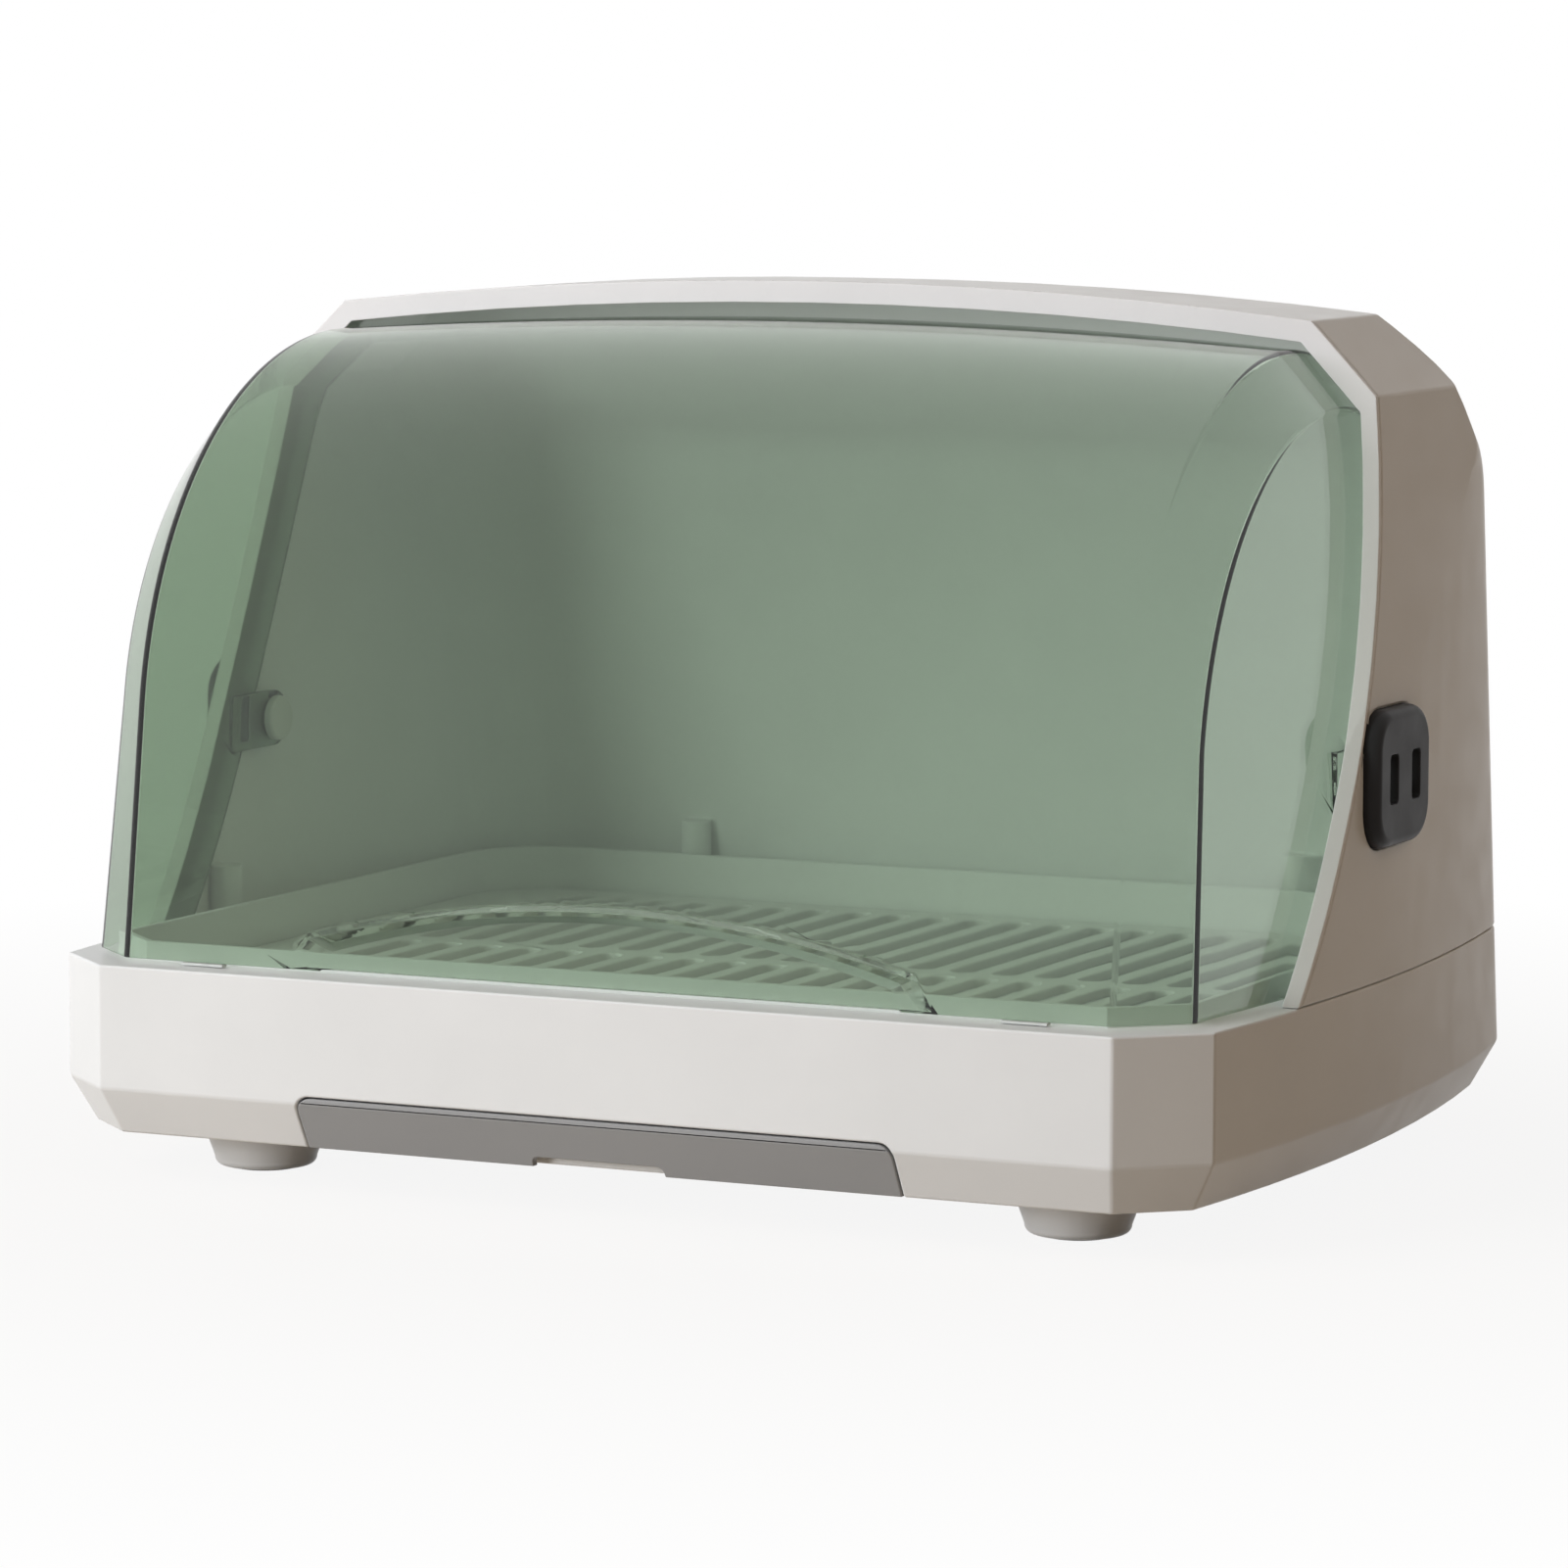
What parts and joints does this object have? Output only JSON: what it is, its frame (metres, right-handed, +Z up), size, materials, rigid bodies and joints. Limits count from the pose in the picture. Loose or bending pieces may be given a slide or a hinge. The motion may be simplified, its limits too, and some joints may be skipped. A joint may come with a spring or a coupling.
{
  "type": "cup drying rack",
  "caption": "Countertop drying box for cups: white tub with drip drawer and slatted rack, white hood, and a clear visor that turns up and back into the hood.",
  "frame": {"origin": "middle of the footprint, on the surface that the feet stand on", "axes": "front towards -Y, +X to the right seen from the front, +Z up"},
  "size_m": [0.445, 0.345, 0.3015],
  "materials": {
    "shell_white": "fine satin moulding",
    "frame_white": "satin",
    "visor_green": "clear, tinted",
    "drawer_grey": "satin",
    "tray_white": "satin",
    "rack_white": "satin",
    "cap_charcoal": "satin",
    "rubber_grey": "matte",
    "bumper_pale": "matte",
    "nylon_white": "satin",
    "screw_steel": "plated"
  },
  "bodies": {
    "housing": {"base_tub": "shell_white", "drain_well": "shell_white", "hood_shell": "shell_white", "hood_front_frame": "frame_white", "side_cap_left": "cap_charcoal", "side_cap_right": "cap_charcoal", "pivot_pin_left": "nylon_white", "pivot_pin_right": "nylon_white", "pivot_washer_left": "nylon_white", "pivot_washer_right": "nylon_white", "foot_front_left": "shell_white", "foot_front_right": "shell_white", "foot_rear_left": "shell_white", "foot_rear_right": "shell_white", "foot_pad_front_left": "rubber_grey", "foot_pad_front_right": "rubber_grey", "foot_pad_rear_left": "rubber_grey", "foot_pad_rear_right": "rubber_grey", "drawer_runner_left": "nylon_white", "drawer_runner_right": "nylon_white", "hood_screw_side_left": "screw_steel", "hood_screw_side_right": "screw_steel", "hood_screw_rear_left": "screw_steel", "hood_screw_rear_right": "screw_steel", "visor_bumper_left": "bumper_pale", "visor_bumper_right": "bumper_pale"},
    "visor": {"visor": "visor_green"},
    "drawer": {"drawer_front": "drawer_grey", "drip_tray": "tray_white"},
    "rack": {"drain_rack": "rack_white"}
  },
  "joints": [
    {"name": "visor_hinge", "type": "hinge", "parent": "housing", "child": "visor", "pos_m": [0, -0.01267, 0.14216], "axis": [-1, 0, 0], "range_deg": [0, 90]},
    {"name": "drawer_slide", "type": "slide", "parent": "housing", "child": "drawer", "axis": [0, -1, 0], "range_m": [0, 0.2]},
    {"name": "rack_lift", "type": "slide", "parent": "housing", "child": "rack", "axis": [0, 0, 1], "range_m": [0, 0.05]}
  ]
}
